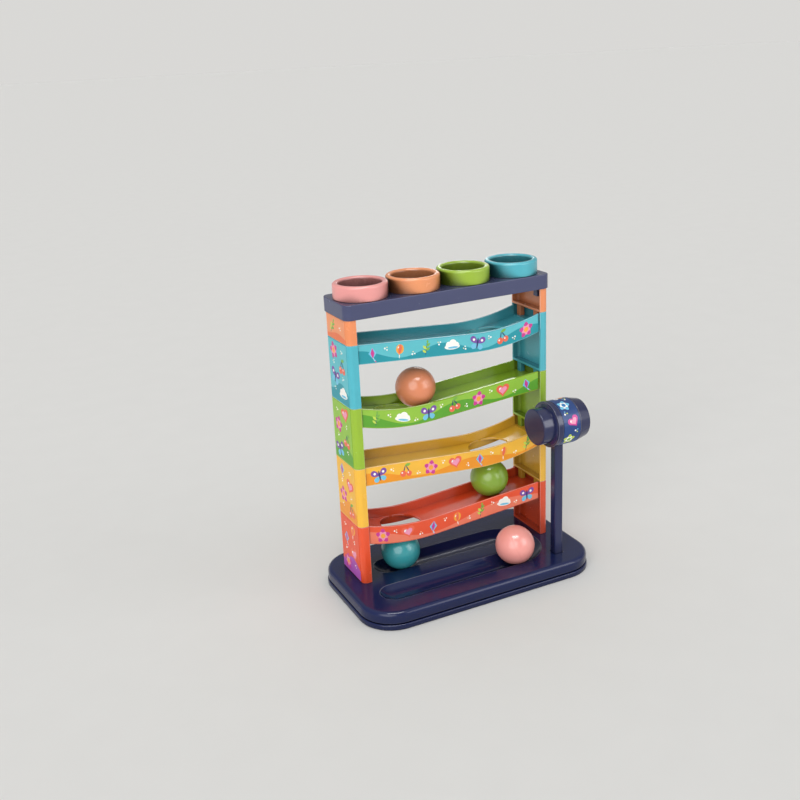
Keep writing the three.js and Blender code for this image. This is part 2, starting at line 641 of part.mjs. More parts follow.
function makeBarrel() {
  const tube = headTurned([
    [BARREL_BORE, -BARREL_HALF],
    [FLANGE_RADIUS, -BARREL_HALF],
    [FLANGE_RADIUS, FLANGE_END],
    [BARREL_RADIUS, FLANGE_END],
    [BARREL_RADIUS, BARREL_HALF],
    [BARREL_BORE, BARREL_HALF],
  ]);
  const outside = headTube(0, BARREL_RADIUS, -BARREL_HALF, BARREL_HALF);
  const sleeveSize = HANDLE_HOLE + 2 * SOCKET_WALL;
  const sleeveTop = HANDLE_TOP + FIT_GAP + SOCKET_WALL;
  const sleeve = column(HAMMER_X, HAMMER_Y, sleeveSize, sleeveSize, DECK_TOP, sleeveTop);
  return cut(join(tube, sleeve.intersect(outside)), handleHole(HANDLE_TOP + FIT_GAP));
}

// A cap's foot is its widest line on the barrel's end, and its neck the foot of its long side.
function makeCap(side, foot, neck, neckHeight, endRadius, end) {
  const hollow = endRadius - CAP_SKIN;
  const spigot = BARREL_BORE - FIT_GAP;
  const path = new THREE.Path();
  path.moveTo(0, end - CAP_SKIN);
  path.lineTo(hollow, end - CAP_SKIN);
  path.lineTo(hollow, -CAP_SPIGOT_LENGTH);
  path.lineTo(spigot, -CAP_SPIGOT_LENGTH);
  path.lineTo(spigot, 0);
  path.lineTo(foot, 0);
  path.lineTo(neck, neckHeight);
  path.absarc(endRadius - CAP_ROUND, end - CAP_ROUND, CAP_ROUND, 0, Math.PI / 2);
  path.lineTo(0, end);
  const points = path.getPoints(RIM_HALF_SIDES).map(({ x, y }) => new THREE.Vector2(x, side * y));
  return turnedAlongX(points, HAMMER_X + side * BARREL_HALF, HAMMER_Y, HEAD_Z);
}

function makeStriker() {
  const foot = BARREL_BORE + SHOULDER_OVERLAP;
  return makeCap(-1, foot, STRIKER_RADIUS, SHOULDER_HEIGHT, STRIKER_RADIUS, STRIKER_LENGTH);
}

function makeTail() {
  return makeCap(1, BARREL_RADIUS, BARREL_RADIUS, CAP_ROUND, TAIL_RADIUS, TAIL_LENGTH);
}

function makeHammerLabel() {
  const inner = BARREL_RADIUS + SKIN_GAP;
  const x0 = FLANGE_END + LABEL_MARGIN;
  const x1 = BARREL_HALF - LABEL_MARGIN;
  const sleeve = headTube(inner, inner + LABEL_THICKNESS, x0, x1);
  return cut(sleeve, handleHole(HEAD_Z));
}

add('hammer_handle', makeHandle(), plastic('navy'));
add('hammer_barrel', makeBarrel(), plastic('navy'));
add('hammer_cap_left', makeStriker(), plastic('navy'));
add('hammer_cap_right', makeTail(), plastic('navy'));
add('hammer_label', makeHammerLabel(), paper('navy'));

export default tower;
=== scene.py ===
"""Looks of a pound-a-ball tower: a moulded tower of stacked posts and troughs on a base with a lane,
four balls, a hammer, and printed film labels. Lengths are in metres, in the frame of the CAD part."""

import math
from collections import namedtuple

import bmesh
import bpy
from mathutils import Matrix, Vector
from mathutils.bvhtree import BVHTree


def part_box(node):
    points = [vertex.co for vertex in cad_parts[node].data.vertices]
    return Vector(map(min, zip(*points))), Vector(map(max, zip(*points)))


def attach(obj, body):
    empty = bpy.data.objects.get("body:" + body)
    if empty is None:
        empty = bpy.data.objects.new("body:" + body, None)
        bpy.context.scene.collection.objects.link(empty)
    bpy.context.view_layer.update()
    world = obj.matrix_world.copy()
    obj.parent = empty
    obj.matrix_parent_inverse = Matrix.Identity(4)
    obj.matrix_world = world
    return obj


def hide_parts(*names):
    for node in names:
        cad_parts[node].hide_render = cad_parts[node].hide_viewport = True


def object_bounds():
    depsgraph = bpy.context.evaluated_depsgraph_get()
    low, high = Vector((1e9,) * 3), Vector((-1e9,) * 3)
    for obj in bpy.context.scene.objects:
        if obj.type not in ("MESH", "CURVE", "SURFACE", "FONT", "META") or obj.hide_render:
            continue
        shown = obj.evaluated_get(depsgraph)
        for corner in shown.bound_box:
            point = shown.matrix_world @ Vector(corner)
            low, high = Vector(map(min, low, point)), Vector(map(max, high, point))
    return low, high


bl_info = {
    "name": "Pound-a-ball tower",
    "version": (1, 0, 0),
    "blender": (4, 5, 0),
    "location": "3D View > Sidebar > Tower",
    "description": "Dresses the packed tower with moulded plastic, printed labels and a studio",
    "category": "Object",
}

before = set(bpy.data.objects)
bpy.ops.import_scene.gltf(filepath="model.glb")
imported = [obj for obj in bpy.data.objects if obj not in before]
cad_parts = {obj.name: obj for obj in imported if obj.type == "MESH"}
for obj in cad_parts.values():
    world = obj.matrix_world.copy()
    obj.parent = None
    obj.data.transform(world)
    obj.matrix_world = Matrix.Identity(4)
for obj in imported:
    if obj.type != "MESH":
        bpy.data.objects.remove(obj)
CAD_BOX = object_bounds()

MM = 0.001
STOREYS = ("red", "yellow", "green", "teal", "orange")
RAMPS = ("red", "yellow", "green", "teal")
RINGS = ("pink", "orange", "green", "teal")
SIDES = ("left", "right")
SCREWS = 4


def linear(hex_colour):
    """Turns an sRGB hex value into linear red, green and blue."""
    channels = [int(hex_colour[i:i + 2], 16) / 255 for i in (0, 2, 4)]
    return tuple(c / 12.92 if c <= 0.04045 else ((c + 0.055) / 1.055) ** 2.4 for c in channels)


def tint(name, description, hex_colour):
    """A colour that the sidebar offers."""
    return bpy.props.FloatVectorProperty(
        name=name, description=description, subtype="COLOR", size=3, min=0, max=1,
        default=linear(hex_colour))


def length(name, description, millimetres):
    """A length that the sidebar offers."""
    return bpy.props.FloatProperty(
        name=name, description=description, default=millimetres * MM, min=0,
        unit="LENGTH", subtype="DISTANCE", precision=5)


class TowerSizes(bpy.types.PropertyGroup):
    """Sizes of the finish that the mould and the printer leave."""
    edge_round: length("Edge rounding", "Radius on the outer edges of moulded pieces", 0.4)
    ring_wall: length("Ring wall", "Wall of a ring above the bar", 4.9)
    ring_rim: length("Ring rim", "Rounding of a ring's rim", 2.1)
    ring_spigot: length("Ring spigot", "Wall of the ring's sleeve in the bar", 2.3)
    bar_height: length("Bar height", "Height of the sleeve in the bar", 12.6)
    ball_seam: length("Ball seam", "Width of the weld line round a ball", 0.5)
    seam_depth: length("Seam depth", "Depth of the weld line round a ball", 0.12)
    ink_height: length("Ink height", "Height of one printed layer, thicker than real ink to show", 0.03)


class TowerColours(bpy.types.PropertyGroup):
    """Colours of the plastics, the label films and the inks."""
    base: tint("Base navy", "Tray and deck", "19234f")
    # Lighter than the base navy of the same plastic: a painted reflection of the pale room on the bar.
    bar: tint("Bar navy", "Top bar", "454a6d")
    hammer: tint("Hammer navy", "Hammer's handle, barrel and caps", "22274f")
    orange: tint("Orange", "Top posts", "f0925f")
    teal: tint("Teal", "Top trough and its posts", "4fb6c6")
    green: tint("Green", "Second trough and its posts", "98bd33")
    yellow: tint("Yellow", "Third trough and its posts", "f4bc3f")
    red: tint("Red", "Lowest trough and its posts", "e8522b")
    ring_pink: tint("Pink ring", "Ring over the left post", "f0a09c")
    ring_orange: tint("Orange ring", "Second ring", "ee9a68")
    ring_green: tint("Green ring", "Third ring", "9dbd38")
    ring_teal: tint("Teal ring", "Ring over the right post", "50b5c5")
    ball_orange: tint("Orange ball", "Ball on the green trough", "df8a63")
    ball_green: tint("Green ball", "Ball on the red trough", "86a83a")
    ball_teal: tint("Teal ball", "Ball on the back lane", "3a9ca3")
    ball_pink: tint("Pink ball", "Ball on the turn of the lane", "f2a098")
    steel: tint("Steel", "Screws under the base", "b8babd")
    floor: tint("Floor", "Studio floor", "e6e6e5")


INKS = {
    "white": "fdfaf3", "cream": "f9dfae", "apricot": "f7a83c", "coral": "ef6b4e", "rose": "f39ab9",
    "magenta": "cf3a94", "violet": "7b4aa6", "sky": "74c6e6", "blue": "2f7fc0", "midnight": "2a2d6b",
    "leaf": "79b648", "lime": "c9dd55",
    "deep_teal": "1497a6", "deep_green": "5ba52a", "deep_yellow": "f2981d", "deep_red": "f07f63",
    "deep_orange": "ec7644", "orchid": "b25ab8", "navy_ground": "143d7c", "orange_ground": "f29a69",
    "teal_ground": "5cc0cb", "green_ground": "93c43f", "yellow_ground": "f7bd3e", "red_ground": "ec5733",
}


def add_node(tree, kind, settings=None, links=None):
    """Adds one shader node, sets its values and links its inputs."""
    made = tree.nodes.new(kind)
    for key, value in (settings or {}).items():
        if isinstance(key, str) and hasattr(made, key):
            setattr(made, key, value)
        else:
            made.inputs[key].default_value = value
    for key, source in (links or {}).items():
        tree.links.new(source, made.inputs[key])
    return made


def new_material(name):
    """A new material without nodes, and its node tree."""
    material = bpy.data.materials.new(name)
    material.use_nodes = True
    material.node_tree.nodes.clear()
    return material, material.node_tree


def shaded(colour, factor):
    """A linear colour made lighter or darker, with its alpha."""
    return tuple(min(1.0, c * factor) for c in colour[:3]) + (1.0,)


def paler(colour, share):
    """A linear colour moved towards white."""
    return tuple(c + (1 - c) * share for c in colour[:3]) + (1.0,)


# The materials made so far, by name.
MATERIALS = {}
# The face attribute that marks rounded edges.
EDGE_MARK = "moulded_edge"

# How a moulding is finished: its mean roughness, the strength of its reflection, how dark the painted shade
# in its deepest hollows is against its colour, how strong the painted highlight on its rounded edges is, and
# how open a spot has to be to count as a hollow's bottom and as clear.
Finish = namedtuple("Finish", "gloss shine depth rim_share shut clear")
FINISHES = {
    "base": Finish(0.16, 0.3, 0.3, 0.3, 0.2, 0.8),
    "post": Finish(0.24, 0.5, 0.38, 0.7, 0.2, 0.8),
    "trough": Finish(0.15, 0.5, 0.45, 0.7, 0.1, 0.7),
    "bar": Finish(0.24, 0.45, 0.3, 0.2, 0.2, 0.8),
    "ring": Finish(0.24, 0.5, 0.08, 0.7, 0.42, 0.9),
    "ball": Finish(0.2, 0.5, 0.75, 0.7, 0.2, 0.8),
    "hammer": Finish(0.2, 0.5, 0.3, 0.3, 0.2, 0.8),
}
# Below this roughness a moulding counts as polished.
POLISHED = 0.19
# How far the roughness strays from its mean, either way.
GLOSSIER, DULLER = -0.06, 0.07
# How far the painted highlight on rounded edges moves the colour towards white.
EDGE_HIGHLIGHT_PALER = 0.28
BUMP_STRENGTH = 0.08
ABS_IOR = 1.54
FILM_IOR = 1.5
FILM_ROUGHNESS = 0.38
STEEL_ROUGHNESS = (0.24, 0.42)
FLOOR_ROUGHNESS = 0.9
FLOOR_SHINE = 0.15
# The darkest and the lightest shade of an uneven colour, against its mean.
ABS_SHADES = (0.93, 1.06)
INK_SHADES = (0.95, 1.05)
STEEL_SHADES = (0.8, 1.1)
FLOOR_SHADES = (0.985, 1.015)
# The screen's grain counts this much beside the drift of the ink, and their sum lies in this range.
GRAIN_SHARE = 0.5
COVER_RANGE = (0.4, 1.1)

# Sizes of the patterns in the materials, across or in height.
PIGMENT_CLOUD = 24 * MM
# Reach of the ambient occlusion behind the painted shade in hollows.
PAINTED_SHADE_REACH = 55 * MM
POLISH_PATCH = 7 * MM
ORANGE_PEEL = 1.6 * MM
PEEL_HEIGHT = 0.06 * MM
SCREEN_GRAIN = 0.7 * MM
GRAIN_HEIGHT = 0.03 * MM
INK_DRIFT = 12 * MM
PLATING_BLOOM = 0.8 * MM
ROLLER_CLOUD = 40 * MM


def moulded_abs(colour_name, finish_name):
    """Gloss-moulded ABS. A polished mould gives a clear reflection that is a little uneven, a faint
    orange peel and a slight cloudiness of the pigment. Rounded edges get a painted highlight, a paler tone,
    and hollows get painted shade, a darker tone of the colour."""
    finish = FINISHES[finish_name]
    polished = "" if finish.gloss > POLISHED else " polished"
    name = f"ABS gloss moulded {colour_name.replace('_', ' ')}{polished}"
    if name in MATERIALS:
        return MATERIALS[name]
    colour = tuple(getattr(bpy.context.scene.tower_colours, colour_name))
    material, tree = new_material(name)
    place = add_node(tree, "ShaderNodeTexCoord").outputs["Object"]
    # Pigment clouds are about 24 mm across, and melt flow leaves them uneven.
    cloud = add_node(tree, "ShaderNodeTexNoise",
                     {"Scale": 1 / PIGMENT_CLOUD, "Detail": 3.0, "Distortion": 0.6}, {"Vector": place})
    dark, light = [shaded(colour, factor) for factor in ABS_SHADES]
    body = add_node(tree, "ShaderNodeMix", {"data_type": "RGBA", 6: dark, 7: light},
                    {0: cloud.outputs["Fac"]})
    # Rounded edges carry a mark and get a painted highlight there, a paler tone of the colour.
    edge = add_node(tree, "ShaderNodeAttribute", {"attribute_name": EDGE_MARK})
    rim = add_node(tree, "ShaderNodeMath", {"operation": "MULTIPLY", 1: finish.rim_share},
                   {0: edge.outputs["Fac"]})
    edge_highlighted = add_node(tree, "ShaderNodeMix", {"data_type": "RGBA", 7: paler(colour, EDGE_HIGHLIGHT_PALER)},
                     {0: rim.outputs[0], 6: body.outputs[2]})
    # Painted shade: hollows of up to about 55 mm, such as the rings and the troughs, get a darker colour.
    painted_shade_occlusion = add_node(tree, "ShaderNodeAmbientOcclusion", {"samples": 8, "Distance": PAINTED_SHADE_REACH})
    unshaded_share = add_node(tree, "ShaderNodeMapRange", {"From Min": finish.shut, "From Max": finish.clear},
                          {"Value": painted_shade_occlusion.outputs["AO"]})
    base = add_node(tree, "ShaderNodeMix", {"data_type": "RGBA", 6: shaded(colour, finish.depth)},
                    {0: unshaded_share.outputs[0], 7: edge_highlighted.outputs[2]})
    # Polish varies over patches of about 7 mm.
    patch = add_node(tree, "ShaderNodeTexNoise", {"Scale": 1 / POLISH_PATCH, "Detail": 2.0},
                     {"Vector": place})
    polish = add_node(tree, "ShaderNodeMapRange",
                      {"To Min": finish.gloss + GLOSSIER, "To Max": finish.gloss + DULLER},
                      {"Value": patch.outputs["Fac"]})
    # Orange peel is about 1 mm across, drawn at 1.6 mm to show.
    peel = add_node(tree, "ShaderNodeTexNoise", {"Scale": 1 / ORANGE_PEEL, "Detail": 1.0},
                    {"Vector": place})
    bump = add_node(tree, "ShaderNodeBump", {"Strength": BUMP_STRENGTH, "Distance": PEEL_HEIGHT},
                    {"Height": peel.outputs["Fac"]})
    shader = add_node(tree, "ShaderNodeBsdfPrincipled", {"IOR": ABS_IOR, "Specular IOR Level": finish.shine},
                      {"Base Color": base.outputs[2], "Roughness": polish.outputs[0],
                       "Normal": bump.outputs[0]})
    add_node(tree, "ShaderNodeOutputMaterial", None, {"Surface": shader.outputs[0]})
    MATERIALS[name] = material
    return material


def printed_film(name, colour):
    """Screen-printed PET film. The ink is opaque with a fine uneven cover, and the laminate over it
    gives a softer reflection than the plastic round it."""
    if name in MATERIALS:
        return MATERIALS[name]
    material, tree = new_material(name)
    place = add_node(tree, "ShaderNodeTexCoord").outputs["Object"]
    # The screen's mesh leaves a grain of about 0.3 mm, drawn at 0.7 mm to show.
    grain = add_node(tree, "ShaderNodeTexNoise", {"Scale": 1 / SCREEN_GRAIN, "Detail": 2.0},
                     {"Vector": place})
    # Ink cover drifts over about 12 mm.
    cover = add_node(tree, "ShaderNodeTexNoise", {"Scale": 1 / INK_DRIFT, "Detail": 2.0},
                     {"Vector": place})
    both = add_node(tree, "ShaderNodeMath", {"operation": "MULTIPLY_ADD", 1: GRAIN_SHARE},
                    {0: grain.outputs["Fac"], 2: cover.outputs["Fac"]})
    cast = add_node(tree, "ShaderNodeMapRange", {"From Min": COVER_RANGE[0], "From Max": COVER_RANGE[1]},
                    {"Value": both.outputs[0]})
    dark, light = [shaded(colour, factor) for factor in INK_SHADES]
    base = add_node(tree, "ShaderNodeMix", {"data_type": "RGBA", 6: dark, 7: light}, {0: cast.outputs[0]})
    bump = add_node(tree, "ShaderNodeBump", {"Strength": BUMP_STRENGTH, "Distance": GRAIN_HEIGHT},
                    {"Height": grain.outputs["Fac"]})
    shader = add_node(tree, "ShaderNodeBsdfPrincipled", {"IOR": FILM_IOR, "Roughness": FILM_ROUGHNESS},
                      {"Base Color": base.outputs[2], "Normal": bump.outputs[0]})
    add_node(tree, "ShaderNodeOutputMaterial", None, {"Surface": shader.outputs[0]})
    MATERIALS[name] = material
    return material


def ink(ink_name):
    """The printed film in one of the inks."""
    return printed_film(f"PET film printed {ink_name.replace('_', ' ')}", linear(INKS[ink_name]))


def film(colour_name):
    """The printed film in the ground of the piece that it is on."""
    return ink(f"{colour_name}_ground")


def plated_steel():
    """Zinc-plated steel. Rolled and plated screws are bright with a cloudy grey bloom."""
    material, tree = new_material("Steel zinc plated")
    colour = tuple(bpy.context.scene.tower_colours.steel)
    place = add_node(tree, "ShaderNodeTexCoord").outputs["Object"]
    # The plating's bloom is about 0.8 mm across.
    bloom = add_node(tree, "ShaderNodeTexNoise", {"Scale": 1 / PLATING_BLOOM, "Detail": 3.0},
                     {"Vector": place})
    dark, light = [shaded(colour, factor) for factor in STEEL_SHADES]
    base = add_node(tree, "ShaderNodeMix", {"data_type": "RGBA", 6: dark, 7: light},
                    {0: bloom.outputs["Fac"]})
    rough = add_node(tree, "ShaderNodeMapRange",
                     {"To Min": STEEL_ROUGHNESS[0], "To Max": STEEL_ROUGHNESS[1]},
                     {"Value": bloom.outputs["Fac"]})
    shader = add_node(tree, "ShaderNodeBsdfPrincipled", {"Metallic": 1.0},
                      {"Base Color": base.outputs[2], "Roughness": rough.outputs[0]})
    add_node(tree, "ShaderNodeOutputMaterial", None, {"Surface": shader.outputs[0]})
    return material


SMOOTH_ANGLE = math.radians(33)
COPLANAR_ANGLE = math.radians(0.6)
WELD = 0.02 * MM
EDGE_SEGMENTS = 2
ROUND_PROFILE = 0.5
# An edge is rounded where its neighbours are this many radii long.
ROOM = 2.2
# Past this angle one edge carries another's line on.
STRAIGHT_ON = math.radians(140)
# Edges this near to a spot where rounding cut through the mesh stay sharp.
CLEAR_ROUND = 2.5 * MM
MENDS = 6
# Rounding can leave edges shorter than this, which are closed up.
SLIVER = 0.05 * WELD
SCREW_ROUND = 0.15 * MM


def crossings(mesh):
    """Middles of the faces that cut through another face of the same mesh."""
    copy = mesh.copy()
    bmesh.ops.triangulate(copy, faces=copy.faces)
    copy.faces.ensure_lookup_table()
    tree = BVHTree.FromBMesh(copy)
    found = []
    for a, b in tree.overlap(tree):
        if a < b and not set(copy.faces[a].verts) & set(copy.faces[b].verts):
            found.append(copy.faces[a].calc_center_median())
    copy.free()
    return found


def clean_copy(node):
    """The node's mesh, welded and with flat areas as one face each."""
    mesh = bmesh.new()
    mesh.from_mesh(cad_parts[node].data)
    bmesh.ops.remove_doubles(mesh, verts=mesh.verts, dist=WELD)
    bmesh.ops.dissolve_degenerate(mesh, dist=WELD, edges=mesh.edges)
    bmesh.ops.recalc_face_normals(mesh, faces=mesh.faces)
    bmesh.ops.dissolve_limit(mesh, angle_limit=COPLANAR_ANGLE, verts=mesh.verts, edges=mesh.edges,
                             use_dissolve_boundaries=False)
    return mesh


def led_on(edge, vert, sharp):
    """The sharp edges that carry an edge's line on past one of its ends."""
    along = edge.other_vert(vert).co - vert.co
    return {other for other in vert.link_edges if other is not edge and other in sharp
            and along.angle(other.other_vert(vert).co - vert.co, 0) > STRAIGHT_ON}


def roomy(edge, room, sharp):
    """True where the edges beside an edge are long enough for it to be rounded."""
    runs_on = True
    for vert in edge.verts:
        on = led_on(edge, vert, sharp)
        runs_on = runs_on and bool(on)
        if any(e.calc_length() < room for e in vert.link_edges if e is not edge and e not in on):
            return False
    return runs_on or edge.calc_length() >= room


def near(edge, spot):
    """True where an edge passes close to a spot."""
    middle = (edge.verts[0].co + edge.verts[1].co) / 2
    return (middle - spot).length < CLEAR_ROUND + edge.calc_length() / 2


def rounded_copy(node, radius):
    """The node's mesh with its outer sharp edges rounded, and the rounded faces marked."""
    avoid = []
    for _ in range(MENDS):
        mesh = clean_copy(node)
        mark = mesh.faces.layers.float.new(EDGE_MARK)
        sharp = {e for e in mesh.edges
                 if e.is_manifold and e.is_convex and e.calc_face_angle(0) > SMOOTH_ANGLE}
        picked = [e for e in mesh.edges
                  if e in sharp and roomy(e, ROOM * radius, sharp) and not any(near(e, p) for p in avoid)]
        made = bmesh.ops.bevel(mesh, geom=picked, offset=radius, offset_type="OFFSET",
                               segments=EDGE_SEGMENTS, profile=ROUND_PROFILE, affect="EDGES",
                               clamp_overlap=False, loop_slide=True)
        crossed = crossings(mesh)
        if not crossed:
            break
        avoid += crossed
        mesh.free()
    else:
        mesh = clean_copy(node)
        mark = mesh.faces.layers.float.new(EDGE_MARK)
        made = {"faces": []}
    for face in made["faces"]:
        face[mark] = 1.0
    bmesh.ops.dissolve_degenerate(mesh, dist=SLIVER, edges=mesh.edges)
    return mesh


def finish_mesh(mesh, name, materials):
    """Makes the object of a bmesh, smooth but for its sharp edges."""
    for face in mesh.faces:
        face.smooth = True
    for edge in mesh.edges:
        edge.smooth = edge.is_manifold and edge.calc_face_angle(0) <= SMOOTH_ANGLE
    data = bpy.data.meshes.new(name)
    mesh.to_mesh(data)
    mesh.free()
    for material in materials:
        data.materials.append(material)
    piece = bpy.data.objects.new(name, data)
    bpy.context.scene.collection.objects.link(piece)
    even = piece.modifiers.new("Even shading", "WEIGHTED_NORMAL")
    even.keep_sharp = True
    return piece


def fit(piece, body, slot, *nodes):
    """Puts a piece on its body and in the place of its CAD nodes, which it hides; its slot is not used."""
    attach(piece, body)
    if nodes:
        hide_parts(*nodes)
    return piece


def moulding(node, name, body, slot, material):
    """A moulded piece: the CAD node with rounded edges, in gloss plastic."""
    mesh = rounded_copy(node, bpy.context.scene.tower_sizes.edge_round)
    return fit(finish_mesh(mesh, name, [material]), body, slot, node)


def lathe(profile, sides, place):
    """Turns a closed profile of (radius, height) points. A radius of 0 at both ends makes a pole."""
    mesh = bmesh.new()
    mesh.faces.layers.float.new(EDGE_MARK)
    rings = []
    for radius, height in profile:
        if radius == 0:
            rings.append([mesh.verts.new(place @ Vector((0, 0, height)))])
            continue
        turns = [2 * math.pi * i / sides for i in range(sides)]
        rings.append([mesh.verts.new(place @ Vector((radius * math.cos(t), radius * math.sin(t), height)))
                      for t in turns])
    pairs = list(zip(rings, rings[1:]))
    if len(rings[0]) > 1:
        pairs.append((rings[-1], rings[0]))
    for low, high in pairs:
        for i in range(sides):
            j = i + 1
            corners = [low[i % len(low)], low[j % len(low)], high[j % len(high)], high[i % len(high)]]
            mesh.faces.new(list(dict.fromkeys(corners)))
    bmesh.ops.recalc_face_normals(mesh, faces=mesh.faces)
    return mesh


def arc(centre, radius, start, end, steps):
    """Points of an arc as (radius, height), from one angle in degrees to another."""
    turns = [math.radians(start + (end - start) * i / steps) for i in range(steps + 1)]
    return [(centre[0] + radius * math.cos(t), centre[1] + radius * math.sin(t)) for t in turns]


class TOWER_OT_base(bpy.types.Operator):
    """Dresses the tray, the deck and the screws"""
    bl_idname = "tower.base"
    bl_label = "Base"

    def execute(self, context):
        navy = moulded_abs("base", "base")
        moulding("base_tray", "tray_moulding", "tower", "plastic_navy", navy)
        moulding("base_deck", "deck_moulding", "tower", "plastic_navy", navy)
        steel = plated_steel()
        for number in range(1, SCREWS + 1):
            mesh = rounded_copy(f"base_screw_{number}", SCREW_ROUND)
            screw = finish_mesh(mesh, f"screw_{number}", [steel])
            fit(screw, "tower", "plated_steel", f"base_screw_{number}")
        return {"FINISHED"}


class TOWER_OT_posts(bpy.types.Operator):
    """Dresses the stacked post segments"""
    bl_idname = "tower.posts"
    bl_label = "Posts"

    def execute(self, context):
        for side in SIDES:
            for colour in STOREYS:
                moulding(f"post_{side}_{colour}", f"post_moulding_{side}_{colour}", "tower",
                         f"plastic_{colour}", moulded_abs(colour, "post"))
        return {"FINISHED"}


class TOWER_OT_troughs(bpy.types.Operator):
    """Dresses the four troughs"""
    bl_idname = "tower.troughs"
    bl_label = "Troughs"

    def execute(self, context):
        for colour in RAMPS:
            moulding(f"ramp_{colour}", f"trough_moulding_{colour}", "tower", f"plastic_{colour}",
                     moulded_abs(colour, "trough"))
        return {"FINISHED"}


RING_SIDES = 96
RIM_STEPS = 7
# The least flat left between the two roundings of a ring's rim, halved.
RIM_SPARE = 0.05 * MM
# The rounding under a ring's outer wall: its radius, and its arc's start in degrees and steps.
RING_FOOT = 0.35 * MM
FOOT_START, FOOT_STEPS = -60, 3


class TOWER_OT_top(bpy.types.Operator):
    """Dresses the top bar and its rings"""
    bl_idname = "tower.top"
    bl_label = "Top bar and rings"

    def execute(self, context):
        sizes = context.scene.tower_sizes
        moulding("top_bar", "bar_moulding", "tower", "plastic_navy", moulded_abs("bar", "bar"))
        for colour in RINGS:
            low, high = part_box(f"ring_{colour}")
            outer = (high.x - low.x) / 2
            bore = outer - sizes.ring_wall
            sleeve = bore + sizes.ring_spigot
            rise = high.z - low.z
            rim = min(sizes.ring_rim, sizes.ring_wall / 2 - RIM_SPARE)
            foot = outer - RING_FOOT
            profile = [(bore, 0), (sleeve, 0), (sleeve, sizes.bar_height), (foot, sizes.bar_height)]
            profile += arc((foot, sizes.bar_height + RING_FOOT), RING_FOOT, FOOT_START, 0, FOOT_STEPS)
            profile += arc((outer - rim, rise - rim), rim, 0, 90, RIM_STEPS)
            profile += arc((bore + rim, rise - rim), rim, 90, 180, RIM_STEPS)
            place = Matrix.Translation(((low.x + high.x) / 2, (low.y + high.y) / 2, low.z))
            piece = finish_mesh(lathe(profile, RING_SIDES, place), f"ring_moulding_{colour}",
                                [moulded_abs(f"ring_{colour}", "ring")])
            fit(piece, "tower", f"plastic_{colour}", f"ring_{colour}")
        return {"FINISHED"}


# How each ball lies: the tilt of its weld line and its turn, in degrees.
BALL_TILTS = {"orange": (74, 18), "green": (24, -35), "teal": (58, 40), "pink": (66, -22)}
BALL_SIDES = 72
BALL_RINGS = 28
# A ball's rings of faces go up to this angle in degrees, and one ring of triangles closes the pole.
POLE = 87


class TOWER_OT_balls(bpy.types.Operator):
    """Makes the four balls, each with the weld line of its halves"""
    bl_idname = "tower.balls"
    bl_label = "Balls"

    def execute(self, context):
        sizes = context.scene.tower_sizes
        for colour, (tilt, turn) in BALL_TILTS.items():
            low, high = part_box(f"ball_{colour}")
            radius = (high.z - low.z) / 2
            half = math.degrees(sizes.ball_seam / 2 / radius)
            groove = radius - sizes.seam_depth
            profile = [(0, -radius)] + arc((0, 0), radius, -POLE, -half, BALL_RINGS)
            profile += [(groove, 0)] + arc((0, 0), radius, half, POLE, BALL_RINGS) + [(0, radius)]
            tilted = Matrix.Rotation(math.radians(tilt), 4, "Y")
            turned = Matrix.Rotation(math.radians(turn), 4, "Z") @ tilted
            place = Matrix.Translation((low + high) / 2) @ turned
            piece = finish_mesh(lathe(profile, BALL_SIDES, place), f"ball_moulding_{colour}",
                                [moulded_abs(f"ball_{colour}", "ball")])
            fit(piece, f"ball_{colour}", f"plastic_{colour}", f"ball_{colour}")
        return {"FINISHED"}


class TOWER_OT_hammer(bpy.types.Operator):
    """Dresses the hammer's handle, barrel and caps"""
    bl_idname = "tower.hammer"
    bl_label = "Hammer"

    def execute(self, context):
        for node in ("handle", "barrel", "cap_left", "cap_right"):
            moulding(f"hammer_{node}", f"hammer_moulding_{node}", "hammer", "plastic_navy",
                     moulded_abs("hammer", "hammer"))
        return {"FINISHED"}


def disc(t):
    """A round outline, at an angle t."""
    return math.cos(t), math.sin(t)


def petals(t):
    """An outline of five petals."""
    reach = 0.82 + 0.18 * math.cos(5 * t)
    return reach * math.cos(t), reach * math.sin(t)


def heart(t):
    """A heart's outline."""
    up = 13 * math.cos(t) - 5 * math.cos(2 * t) - 2 * math.cos(3 * t) - math.cos(4 * t)
    return math.sin(t) ** 3, (up + 2.5) / 16


def leaf(t):
    """An outline with a point at both ends."""
    return math.cos(t), math.sin(t) * abs(math.sin(t))


def drop(t):
    """An outline with a point at one end."""
    return math.cos(t), math.sin(t) * math.sin(t / 2)


def diamond(t):
    """An outline of four corners."""
    return math.cos(t) * abs(math.cos(t)), math.sin(t) * abs(math.sin(t))


OUTLINE_POINTS = 28
BAND_COLUMNS = 48
